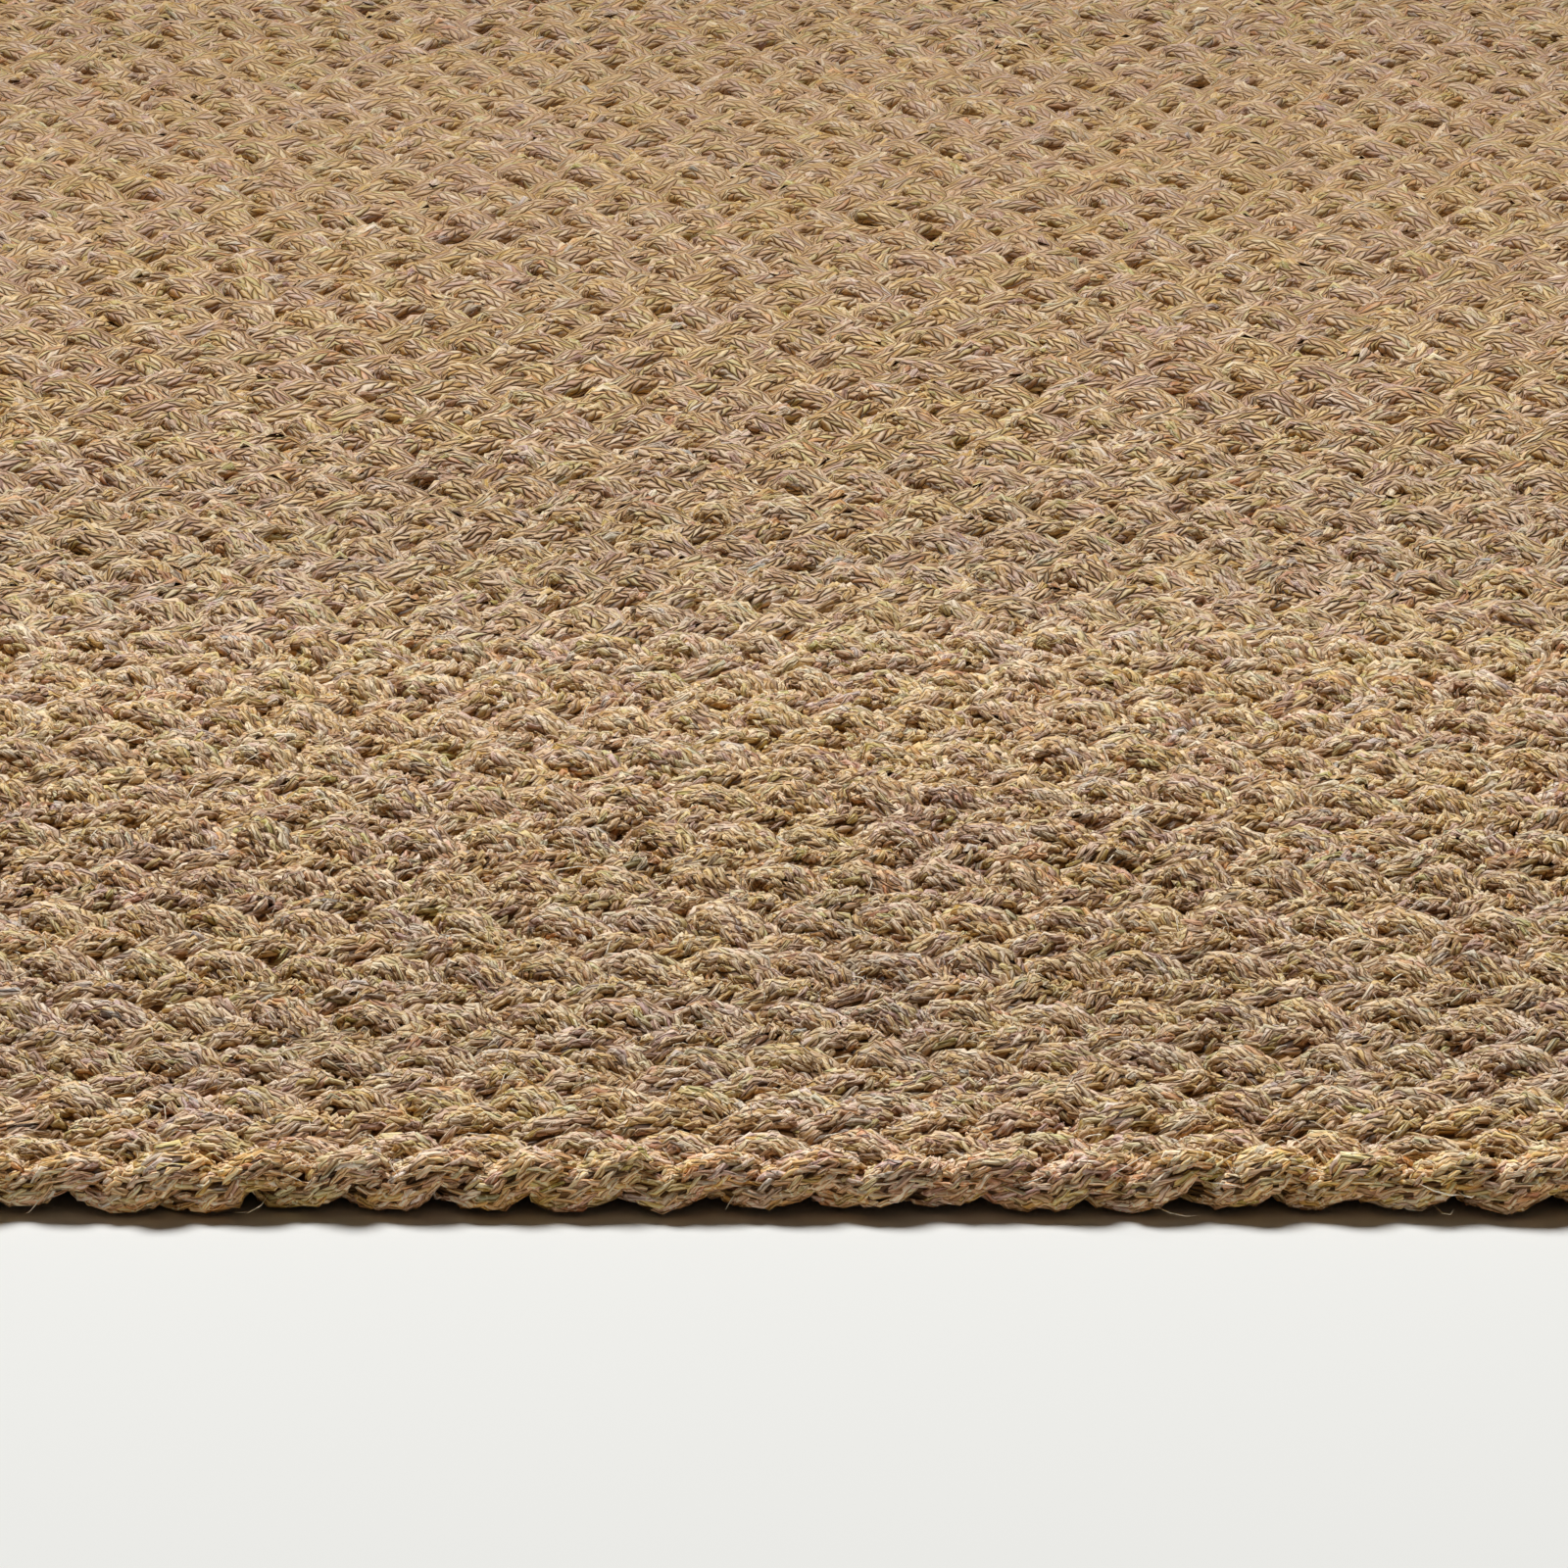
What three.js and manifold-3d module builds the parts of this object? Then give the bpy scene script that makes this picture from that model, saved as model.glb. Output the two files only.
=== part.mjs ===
// Braided outdoor rug, lying flat.
//
// Flat braids of three soft cords lie side by side in straight rows across the
// rug and are sewn edge to edge. One more braid runs round all four sides and
// covers the ends of the rows.
//
// Millimetres. +X runs along the rows, +Y along the rug's length, +Z up.
// The origin is the middle of the rug on the surface it lies on.

import * as THREE from 'three';
import { mergeVertices } from 'three/addons/utils/BufferGeometryUtils.js';
import Module from 'manifold-3d';

// ---- driving dimensions ----------------------------------------------------
const RUG_WIDTH = 600;        // across the rug, along the rows (X)
const RUG_LENGTH = 1000;      // across the rows (Y)
const THICKNESS = 10.5;       // surface to the tops of the braids (Z)
const EDGE_BRAID_WIDTH = 18;  // the braid that runs round the rug
const EDGE_BRAID_HEIGHT = 9;  // it is thinner than the rows
const OUTER_CORNER_RADIUS = 32;
const ROW_COUNT = 39;         // rows of braid inside the edge braid
const SEAM_GAP = 0.3;         // between the rows' panel and the edge braid
const CORNER_STEPS = 8;       // facets in each rounded corner

// The rows next to either end of the rug are sewn tighter. share is a row's
// width as a share of a row in the middle of the rug.
const TIGHT_ROWS = [
  { rowsFromEnd: 0, share: 0.76 },
  { rowsFromEnd: 1, share: 0.84 },
  { rowsFromEnd: 2, share: 0.97 },
];

// ---- derived dimensions ----------------------------------------------------
const PANEL_WIDTH = RUG_WIDTH - 2 * (EDGE_BRAID_WIDTH + SEAM_GAP);
const PANEL_LENGTH = RUG_LENGTH - 2 * (EDGE_BRAID_WIDTH + SEAM_GAP);
const PANEL_CORNER_RADIUS = OUTER_CORNER_RADIUS - EDGE_BRAID_WIDTH - SEAM_GAP;

function rowShare(row) {
  const fromEnd = Math.min(row, ROW_COUNT - 1 - row);
  const tight = TIGHT_ROWS.find(({ rowsFromEnd }) => rowsFromEnd === fromEnd);
  return tight ? tight.share : 1;
}

// Each row's middle and width, along Y.
const ROWS = (() => {
  const shares = Array.from({ length: ROW_COUNT }, (_, row) => rowShare(row));
  const full = PANEL_LENGTH / shares.reduce((sum, share) => sum + share, 0);
  let y = -PANEL_LENGTH / 2;
  return shares.map((share) => {
    const width = full * share;
    y += width;
    return { middle: y - width / 2, width };
  });
})();

// Half of a braid's section, from its middle to its edge. across is a share of
// half the braid's width and height a share of the thickness.
const ROW_TOP = [
  { at: 'crest',    across: 0.34, height: 1.00 },
  { at: 'shoulder', across: 0.64, height: 0.94 },
  { at: 'flank',    across: 0.86, height: 0.81 },
  { at: 'seam',     across: 1.00, height: 0.64 },
];
const ROW_UNDERSIDE = [
  { at: 'land',     across: 0.50, height: 0.00 },
  { at: 'seam',     across: 1.00, height: 0.22 },
];

// Section of the edge braid, counter-clockwise from the inner end of its land.
// out is a share of half its width, positive towards the outside of the rug,
// and height a share of the edge braid's own height.
const EDGE_SECTION = [
  { at: 'land, inner end',  out: -0.50, height: 0.00 },
  { at: 'land, outer end',  out: 0.34,  height: 0.00 },
  { at: 'lower bulge',      out: 0.80,  height: 0.16 },
  { at: 'outside, low',     out: 1.00,  height: 0.38 },
  { at: 'outside, high',    out: 1.00,  height: 0.60 },
  { at: 'upper bulge',      out: 0.82,  height: 0.84 },
  { at: 'crest, outer end', out: 0.42,  height: 0.98 },
  { at: 'crest, inner end', out: -0.34, height: 1.00 },
  { at: 'shoulder',         out: -0.64, height: 0.94 },
  { at: 'flank',            out: -0.86, height: 0.81 },
  { at: 'seam, top',        out: -1.00, height: 0.66 },
  { at: 'seam, underside',  out: -1.00, height: 0.22 },
];

// ---- shape helpers -----------------------------------------------------------

// A mesh with only positions, its shared corners merged.
function plain(geometry) {
  const g = geometry.clone();
  for (const name of Object.keys(g.attributes)) {
    if (name !== 'position') g.deleteAttribute(name);
  }
  return mergeVertices(g, 1e-5);
}

const wasm = await Module();
wasm.setup();

function toSolid(geometry) {
  const g = plain(geometry);
  const mesh = new wasm.Mesh({
    numProp: 3,
    vertProperties: new Float32Array(g.attributes.position.array),
    triVerts: new Uint32Array(g.index.array),
  });
  mesh.merge();
  return new wasm.Manifold(mesh);
}

function toGeometry(solid) {
  const m = solid.getMesh();
  const g = new THREE.BufferGeometry();
  g.setAttribute('position', new THREE.BufferAttribute(new Float32Array(m.vertProperties), 3));
  g.setIndex(new THREE.BufferAttribute(new Uint32Array(m.triVerts), 1));
  g.computeVertexNormals();
  return g;
}

// A rectangle with rounded corners, as an outline in X and Y.
function roundedRectangle(width, length, radius) {
  const x = width / 2 - radius;
  const y = length / 2 - radius;
  const corners = [
    { cx: x, cy: y, from: 0 },
    { cx: -x, cy: y, from: 90 },
    { cx: -x, cy: -y, from: 180 },
    { cx: x, cy: -y, from: 270 },
  ];
  const outline = [];
  for (const { cx, cy, from } of corners) {
    for (let i = 0; i <= CORNER_STEPS; i++) {
      const a = THREE.MathUtils.degToRad(from + (90 * i) / CORNER_STEPS);
      outline.push(new THREE.Vector2(cx + radius * Math.cos(a), cy + radius * Math.sin(a)));
    }
  }
  return outline;
}

// ---- the panel: rows of braid sewn side by side ------------------------------

// The section across the rows: a slab with a crest and a land for each row and
// a seam groove above and below between each two.
function panelSection() {
  const top = [];
  const underside = [];
  ROWS.forEach(({ middle, width }, row) => {
    const add = (line, table, side) => {
      for (const { at, across, height } of table) {
        // Two rows share one seam, so only the first row's near seam is its own.
        if (at === 'seam' && side < 0 && row > 0) continue;
        line.push({ y: middle + (side * across * width) / 2, z: height * THICKNESS });
      }
    };
    add(top, [...ROW_TOP].reverse(), -1);
    add(top, ROW_TOP, 1);
    add(underside, [...ROW_UNDERSIDE].reverse(), -1);
    add(underside, ROW_UNDERSIDE, 1);
  });
  const shape = new THREE.Shape();
  underside.forEach(({ y, z }, i) => (i ? shape.lineTo(y, z) : shape.moveTo(y, z)));
  [...top].reverse().forEach(({ y, z }) => shape.lineTo(y, z));
  shape.closePath();
  return shape;
}

function panelGeometry() {
  const ridged = new THREE.ExtrudeGeometry(panelSection(), {
    depth: PANEL_WIDTH,
    steps: 1,
    bevelEnabled: false,
  });
  // The section's first axis becomes Y, its second Z, and its depth X.
  ridged.translate(0, 0, -PANEL_WIDTH / 2);
  ridged.applyMatrix4(new THREE.Matrix4().set(
    0, 0, 1, 0,
    1, 0, 0, 0,
    0, 1, 0, 0,
    0, 0, 0, 1,
  ));
  // Its corners are trimmed to the inside of the edge braid's bend.
  const outline = new THREE.Shape(roundedRectangle(PANEL_WIDTH, PANEL_LENGTH, PANEL_CORNER_RADIUS));
  const trim = new THREE.ExtrudeGeometry(outline, {
    depth: THICKNESS + 4,
    steps: 1,
    bevelEnabled: false,
  });
  trim.translate(0, 0, -2);
  return toGeometry(toSolid(ridged).intersect(toSolid(trim)));
}

// ---- the edge braid: one loop round the rug ----------------------------------

function edgeBraidGeometry() {
  const half = EDGE_BRAID_WIDTH / 2;
  // The loop is swept as level rounded rectangles, one for each point of the
  // section, so that its bends keep the section's width.
  const rings = EDGE_SECTION.map(({ out, height }) => {
    const inset = half * (1 - out);
    return {
      outline: roundedRectangle(
        RUG_WIDTH - 2 * inset,
        RUG_LENGTH - 2 * inset,
        OUTER_CORNER_RADIUS - inset,
      ),
      z: height * EDGE_BRAID_HEIGHT,
    };
  });
  const around = rings[0].outline.length;
  const positions = [];
  for (const { outline, z } of rings) {
    for (const { x, y } of outline) positions.push(x, y, z);
  }
  const index = [];
  for (let r = 0; r < rings.length; r++) {
    const next = (r + 1) % rings.length;
    for (let i = 0; i < around; i++) {
      const j = (i + 1) % around;
      const a = r * around + i;
      const b = r * around + j;
      const c = next * around + j;
      const d = next * around + i;
      index.push(a, b, c, a, c, d);
    }
  }
  const g = new THREE.BufferGeometry();
  g.setAttribute('position', new THREE.Float32BufferAttribute(positions, 3));
  g.setIndex(index);
  g.computeVertexNormals();
  return g;
}

// ---- the rug -------------------------------------------------------------------

const rug = new THREE.Group();

const panel = new THREE.Mesh(
  panelGeometry(),
  new THREE.MeshStandardMaterial({ color: 0xa4886b, roughness: 0.95, metalness: 0 }),
);
panel.name = 'braid_rows';
rug.add(panel);

const edge = new THREE.Mesh(
  edgeBraidGeometry(),
  new THREE.MeshStandardMaterial({ color: 0x9d8264, roughness: 0.95, metalness: 0 }),
);
edge.name = 'edge_braid';
rug.add(edge);

export default rug;
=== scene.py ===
import math

import bpy
import numpy as np
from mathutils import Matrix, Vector


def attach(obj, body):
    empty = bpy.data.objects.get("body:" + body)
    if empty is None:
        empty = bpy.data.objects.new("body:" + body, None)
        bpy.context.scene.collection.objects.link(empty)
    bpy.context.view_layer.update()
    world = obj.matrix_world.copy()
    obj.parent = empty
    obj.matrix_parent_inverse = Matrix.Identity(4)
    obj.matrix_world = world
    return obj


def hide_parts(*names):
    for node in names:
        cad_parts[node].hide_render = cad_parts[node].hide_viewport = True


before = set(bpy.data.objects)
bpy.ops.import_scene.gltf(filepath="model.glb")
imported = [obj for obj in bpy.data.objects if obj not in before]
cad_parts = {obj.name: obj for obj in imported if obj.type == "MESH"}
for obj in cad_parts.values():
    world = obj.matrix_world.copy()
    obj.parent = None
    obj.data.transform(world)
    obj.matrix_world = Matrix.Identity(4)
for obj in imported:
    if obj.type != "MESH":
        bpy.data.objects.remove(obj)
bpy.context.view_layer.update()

# ---------------------------------------------------------------------------
# Sizes, in millimetres. They repeat the CAD model's, which holds the true ones.
# ---------------------------------------------------------------------------
MM = 0.001
RUG_WIDTH, RUG_LENGTH, THICKNESS = 600.0, 1000.0, 10.5
EDGE_WIDTH, OUTER_RADIUS, SEAM_GAP = 18.0, 32.0, 0.3
ROW_COUNT = 39
TIGHT_SHARES = (0.76, 0.84, 0.97)  # widths of the rows next to either end
PANEL_WIDTH = RUG_WIDTH - 2 * (EDGE_WIDTH + SEAM_GAP)
PANEL_LENGTH = RUG_LENGTH - 2 * (EDGE_WIDTH + SEAM_GAP)

# A braid has three cords, each crossing from side to side and back in one period.
PERIOD = 43.0
# across is half a cord's width, and edge and cross half its height, where it
# turns at the braid's edge and where it crosses the others. It goes rise over
# them and fall under them. Its turns are sharper with turn, squarer if that is
# less than 0. press is how far it reaches past the braid's width, middle the
# height of the braid's middle, and tilt how much its far side is raised.
# columns is how many columns of yarn floats there are round the cord, pitch the
# distance from float to float along one, and twist how far the columns are
# turned from the cord's own line, in degrees.
BRAIDS = {
    "row": dict(across=5.3, edge=3.85, cross=2.75, rise=1.95, fall=1.9, turn=0.03, press=1.9, middle=4.65,
                tilt=0.03, columns=24, pitch=3.9, twist=11.0),
    "edge": dict(across=4.2, edge=3.2, cross=2.75, rise=2.0, fall=1.3, turn=-0.03, press=-0.1, middle=4.35,
                 tilt=0.0, columns=24, pitch=3.75, twist=12.0),
}
SQUARE = 2.25        # a cord's section, squarer than an ellipse's 2
LUMPS = 0.45         # how uneven its skin is

# The cord is itself braided of yarns, which show as short slanting floats in
# columns along it, slanting one way in each column and the other in the next.
FLOAT_ANGLE = 17.0   # how steeply a float crosses its column, in degrees
FLOAT_HALF = 0.52    # half a modelled float's length, in pitches
FLOAT_WIDE = 0.74    # half its width, in columns
FLOAT_PLUMP = {"full": 0.78, "slim": 0.68, "roof": 0.64}  # how high it stands
FLOAT_CORE = 0.6     # share of it that is its middle part, between its bends
FLOAT_TURNS = 9.0, -11.0  # how much steeper its middle lies, and its ends, in degrees
SAME_YARN = 0.65     # share of the floats along a yarn's way that have its colour
FULL_ROWS = 5        # rows from the near end whose floats are modelled finely
SLIM_ROWS = 12       # and nearly as finely
FLOAT_ROWS = 12      # rows whose floats are all modelled
# The yarns get coarser with the rows: the first row of each kind, its columns
# of floats round a cord, and its pitch as a share of the near rows'.
COARSER = [
    dict(row=5, columns=22, pitch=1.04),
    dict(row=8, columns=20, pitch=1.08),
]
FEW = 0.15           # share of them modelled in the other rows

# The floats that are only in the shading: columns, pitch, and how far one runs
# along the cord in pitches.
SHADED = dict(columns=16, pitch=3.3, slant=0.85)

# A modelled float: each corner's place along, across and above the cord.
SHAPES = {
    "full": {
        "corners": [
            (-1.0, 0.0, -0.6), (-0.58, 0.96, -0.75), (0.58, 0.96, -0.75), (1.0, 0.0, -0.6),
            (0.58, -0.96, -0.75), (-0.58, -0.96, -0.75), (-0.52, 0.0, 1.0), (0.52, 0.0, 1.0),
        ],
        "faces": [
            (0, 6, 1), (1, 6, 7), (1, 7, 2), (2, 7, 3),
            (3, 7, 4), (4, 7, 6), (4, 6, 5), (5, 6, 0),
        ],
    },
    "slim": {
        "corners": [
            (-1.0, 0.0, -0.6), (0.0, 1.2, -0.8), (1.0, 0.0, -0.6), (0.0, -1.2, -0.8),
            (-0.52, 0.0, 1.0), (0.52, 0.0, 1.0),
        ],
        "faces": [(0, 4, 1), (1, 4, 5), (1, 5, 2), (2, 5, 3), (3, 5, 4), (3, 4, 0)],
    },
    "roof": {
        "corners": [
            (-1.0, 0.0, -0.6), (0.0, 1.25, -0.8), (1.0, 0.0, -0.6), (0.0, -1.25, -0.8), (0.0, 0.0, 1.0),
        ],
        "faces": [(0, 4, 1), (1, 4, 2), (2, 4, 3), (3, 4, 0)],
    },
    # one loose fibre, as a thin bent spindle
    "fibre": {
        "corners": [
            (-1.0, 0.0, 0.0), (-0.3, 0.1, 0.0), (-0.3, -0.1, 0.0), (-0.3, 0.0, 0.1),
            (0.3, 0.1, 0.0), (0.3, -0.1, 0.0), (0.3, 0.0, 0.1), (1.0, 0.0, 0.0),
        ],
        "faces": [
            (0, 1, 2), (0, 2, 3), (0, 3, 1), (1, 5, 2), (1, 4, 5), (2, 6, 3),
            (2, 5, 6), (3, 4, 1), (3, 6, 4), (7, 5, 4), (7, 6, 5), (7, 4, 6),
        ],
    },
}


# ---------------------------------------------------------------------------
# Smooth seeded noise
# ---------------------------------------------------------------------------
def wave(seed, x, scale, octaves=2):
    """A smooth curve of about -1 to 1 over x, with bends about scale long."""
    rng = np.random.default_rng(seed)
    out, gain = np.zeros_like(np.asarray(x, float)), 1.0
    for _ in range(octaves):
        for _ in range(4):
            f = rng.uniform(0.55, 1.45) / scale
            out += gain * 0.42 * np.sin(2 * np.pi * (f * x + rng.uniform()))
        gain, scale = gain * 0.5, scale * 0.5
    return out


def rows():
    """The middle and width of each row, along Y."""
    shares = np.ones(ROW_COUNT)
    for i, s in enumerate(TIGHT_SHARES):
        shares[i] = shares[-1 - i] = s
    width = PANEL_LENGTH * shares / shares.sum()
    ends = np.cumsum(width) - PANEL_LENGTH / 2
    return list(zip(ends - width / 2, width))


def wander(x, y):
    """How far the rows stray along Y: little near the rug's ends, more in its middle."""
    inside = np.clip((RUG_LENGTH / 2 - np.abs(y)) / 260, 0, 1)
    side = np.clip((RUG_WIDTH / 2 - np.abs(x)) / 40, 0, 1)
    k = inside * inside * (3 - 2 * inside) * side
    bend = 1.9 * np.sin(2 * np.pi * (x + 22) / 172 + 0.0016 * y) + 1.3 * np.sin(
        2 * np.pi * (x - 40) / 97 + 0.004 * y + 1.0
    )
    return k * bend


def lift(x, y):
    """A slight unevenness in how high the rug lies."""
    return 0.35 * np.sin(2 * np.pi * (x + 22) / 190 + 0.002 * y) * np.clip(
        (RUG_LENGTH / 2 - np.abs(y)) / 200, 0, 1
    )


# ---------------------------------------------------------------------------
# Braids. Each is made straight, in a space of its own (s along it, t across it
# to the left, z up), and laid along its line on the rug afterwards.
# ---------------------------------------------------------------------------
def squared(th):
    """Across and up on a section of half width and half height 1, squarer than a circle."""
    c, d = np.cos(th), np.sin(th)
    k = 2 / SQUARE
    return np.sign(c) * np.abs(c) ** k, np.sign(d) * np.abs(d) ** k


def section(b):
    """The way round a cord's mean section: angles, their shares of its length, and its length."""
    th = np.linspace(0, 2 * np.pi, 241)
    c, d = squared(th)
    p = np.stack([b["across"] * c, (b["edge"] + b["cross"]) / 2 * d], 1)
    arc = np.concatenate([[0], np.cumsum(np.linalg.norm(np.diff(p, axis=0), axis=1))])
    return th, arc / arc[-1], arc[-1]


class Cord:
    """One cord of a straight braid, as a curve through (s, t, z) with its section."""

    def __init__(self, braid, first, last, period, offset, width, seed, closed=False, shrink=0.0):
        # phase runs from first to last along the braid; the cord is offset in it
        self.closed, self.seed = closed, seed
        b = BRAIDS[braid]
        n = int((last - first) / math.pi * 40) + 1
        q = np.linspace(first, last, n)
        phi = q + offset
        wrap = (last - first) / math.pi
        fade = np.ones(n)
        if closed:  # the unevenness fades out where the loop meets itself
            fade = np.clip(np.minimum(q - first, last - q) / 2.5, 0, 1)
        noise = lambda k, scale: wave(seed * 17 + k, q / np.pi, scale) * fade
        reach = width / 2 - b["across"] + b["press"]
        swing = (np.cos(phi) + b["turn"] * np.cos(3 * phi)) / (1 + b["turn"])
        s = q / (2 * np.pi) * period + 1.2 * noise(5, 2.2)
        t = -reach * swing * (1 + 0.09 * noise(1, 2.6)) + 0.5 * noise(6, 1.8)
        wave_z = np.sin(2 * phi)
        z = np.where(wave_z > 0, b["rise"], b["fall"]) * wave_z + 0.42 * noise(2, 1.7) + b["tilt"] * t
        # 1 where it comes over the others from its turn at the far edge
        self.pull = np.clip(-np.cos(phi - 0.6), 0, 1)
        self.columns, self.pitch = b["columns"], b["pitch"]
        self.q = q
        self.centre = np.stack([s, t, z], 1)
        step = np.linalg.norm(np.diff(self.centre, axis=0), axis=1)
        self.run = np.concatenate([[0], np.cumsum(step)])
        self.whole = self.run[-1]
        if closed:
            k = round(self.whole / self.pitch) * self.pitch / self.whole
            self.run, self.whole = self.run * k, self.whole * k
        tangent = np.gradient(self.centre, axis=0)
        if closed:
            tangent[0] = tangent[-1] = (self.centre[1] - self.centre[0]) + (
                self.centre[-1] - self.centre[-2]
            )
        self.tangent = tangent / np.linalg.norm(tangent, axis=1)[:, None]
        up = np.array([0.0, 0.0, 1.0])
        v = up - self.tangent * self.tangent[:, 2:3]
        self.v = v / np.linalg.norm(v, axis=1)[:, None]
        self.w = np.cross(self.tangent, self.v)
        edge = np.cos(phi) ** 2
        size = 1 + 0.09 * noise(3, 1.9)
        self.a = size * (b["across"] - 0.1 * edge) - shrink
        self.b = size * (b["cross"] + (b["edge"] - b["cross"]) * edge) - shrink
        self.th, self.share, self.around = section(b)
        self.lean = np.radians(b["twist"])
        self.twist = np.tan(self.lean) / self.around
        if closed:
            self.twist = round(self.twist * self.whole) / self.whole
        rng = np.random.default_rng(seed + 7000)
        self.lumps = [
            (rng.integers(-3, 4), rng.uniform(0.6, 1.9) / 10.0, rng.uniform(0, 2 * np.pi), rng.uniform(0.5, 1.0))
            for _ in range(7)
        ]

    def turn_of(self, share):
        return np.interp(share % 1.0, self.share, self.th)

    def share_of(self, th):
        return np.interp(th, self.th, self.share)

    def at(self, run, share, height=0.0):
        """Points on the cord's skin, height above it."""
        run = run % self.whole if self.closed else run
        get = lambda a: np.interp(run, self.run, a)
        vec = lambda m: np.stack([get(m[:, i]) for i in range(3)], -1)
        th = self.turn_of(share)
        a, b = get(self.a), get(self.b)
        c, d = squared(th)
        w, v = vec(self.w), vec(self.v)
        k = SQUARE - 1
        n = (np.sign(c) * np.abs(c) ** k / a)[..., None] * w + (np.sign(d) * np.abs(d) ** k / b)[..., None] * v
        n /= np.linalg.norm(n, axis=-1)[..., None]
        lump = sum(
            g * np.sin(2 * np.pi * (m * share + f * run) + o) for m, f, o, g in self.lumps
        ) * (LUMPS * 0.45)
        if self.closed:
            lump = lump * np.clip(np.minimum(run, self.whole - run) / 12.0, 0, 1)
        height = height + lump
        return vec(self.centre) + (a * c)[..., None] * w + (b * d)[..., None] * v + np.asarray(height)[..., None] * n, n

    def buries(self, p, slack):
        """Which of the points p lie inside this cord."""
        i = np.clip(np.interp(p[:, 0], self.centre[:, 0], np.arange(len(self.q))), 0, len(self.q) - 1)
        ds = self.whole / (len(self.q) - 1)
        for _ in range(4):
            j = np.clip(np.rint(i).astype(int), 0, len(self.q) - 1)
            along = ((p - self.centre[j]) * self.tangent[j]).sum(1)
            i = np.clip(i + along / ds * 0.8, 0, len(self.q) - 1)
        j = np.rint(i).astype(int)
        d = p - self.centre[j]
        x, y = (d * self.w[j]).sum(1), (d * self.v[j]).sum(1)
        inside = (x / (self.a[j] * slack)) ** 2 + (y / (self.b[j] * slack)) ** 2 < 1
        under = (np.abs(x) < 0.72 * self.a[j]) & (y < 0) & (y > -2.4 * self.b[j])
        return inside, under

    def rings(self, per_half, sides, rough=0.0, offset=0.0):
        """Rings of points for the skin: phases where they stand, and points round them."""
        lo, hi = self.q[0], self.q[-1]
        out = []
        for n in range(math.floor((lo + offset) / math.pi) - 1, math.ceil((hi + offset) / math.pi) + 2):
            k = per_half(n) if callable(per_half) else per_half
            fine = int(round(k * 0.8))
            out.append(np.concatenate([
                np.linspace(-0.16, 0.62, fine, endpoint=False),
                np.linspace(0.62, 0.84, k - fine, endpoint=False),
            ]) * np.pi + n * math.pi)
        q = np.concatenate(out) - offset
        if self.closed:
            q = q[(q >= lo - 1e-6) & (q < hi - 1e-4)]
        else:
            q = q[(q > lo + 0.05) & (q < hi - 0.05)]
            q = np.concatenate([[lo], q, [hi]])
        run = np.interp(q, self.q, self.run)
        top = int(round(sides * 0.7))
        th = np.concatenate([
            np.linspace(0, np.pi, top, endpoint=False),
            np.linspace(np.pi, 2 * np.pi, sides - top, endpoint=False),
        ])
        share = self.share_of(th)
        R, S = np.meshgrid(run, share, indexing="ij")
        h = np.zeros_like(R)
        if rough:
            rng = np.random.default_rng(self.seed + 4000)
            h = rng.normal(0, rough, R.shape)
            h = 0.6 * h + 0.2 * (np.roll(h, 1, 0) + np.roll(h, -1, 0))
        p, _ = self.at(R, S, h)
        return run, share, p

    def floats(self, others, shape, keep, low, band, large=1.0, draw=6.0):
        """The yarn floats that show on this cord: their corners in (s, t, z)."""
        rng = np.random.default_rng(self.seed + 9000)
        count = int(round(self.whole / self.pitch))
        n, col = np.meshgrid(np.arange(count), np.arange(self.columns), indexing="ij")
        n, col = n.ravel(), col.ravel()
        # Each yarn winds round the cord, through every second column. The whole
        # part of a thousand picks says which yarn a float is of.
        half = self.columns // 2
        way = np.where(col % 2 == 0, (col // 2 - n) % half, (col // 2 + n) % half + half)
        own = rng.integers(0, 1000, self.columns)[way]
        own = np.where(rng.random(len(n)) < SAME_YARN, own, rng.integers(0, 1000, len(n)))
        pick = (own + rng.uniform(0.1, 0.9, len(n))) / 1000
        jit = rng.normal(0, 1, (len(n), 6))
        run = (n + 0.5 + 0.5 * (col % 2) * 1.0 + 0.08 * jit[:, 0]) * self.pitch
        share = (col + 0.5 + 0.14 * jit[:, 1]) / self.columns + self.twist * run
        if not self.closed:
            ok = (run > 1.5) & (run < self.whole - 1.5)
            n, col, pick, jit, run, share = n[ok], col[ok], pick[ok], jit[ok], run[ok], share[ok]
        p, normal = self.at(run, share, np.full(len(run), 0.25))
        show = normal[:, 2] > low(p)
        for o in others:
            inside, under = o.buries(p, 0.97)
            show &= ~inside & ~(under & (normal[:, 2] > -0.3))
        show &= band(p)
        show &= rng.random(len(n)) < keep(p)
        n, col, pick, jit, run, share = n[show], col[show], pick[show], jit[show], run[show], share[show]
        k = len(n)
        corners = np.array(SHAPES[shape]["corners"])
        # coming over from a far turn the yarns are drawn out along the cord
        pull = draw * np.interp(run % self.whole, self.run, self.pull)
        angle = np.where(col % 2 == 0, 1, -1) * np.radians(FLOAT_ANGLE + 5.0 * jit[:, 2] - pull) + self.lean
        long_ = large * FLOAT_HALF * self.pitch * (1 + 0.14 * jit[:, 3] + 0.014 * pull)
        wide = large * FLOAT_WIDE * self.around / self.columns * (1 + 0.14 * jit[:, 4])
        tall = FLOAT_PLUMP[shape] * np.clip(1 + 0.25 * jit[:, 5], 0.5, 1.8)
        # flatter and broader on the cord's underside
        tall = tall * np.interp(normal[show][:, 2], [-0.6, 0.0], [0.5, 1.0])
        wide = wide * np.interp(normal[show][:, 2], [-0.6, 0.3], [1.3, 1.0])
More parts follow.
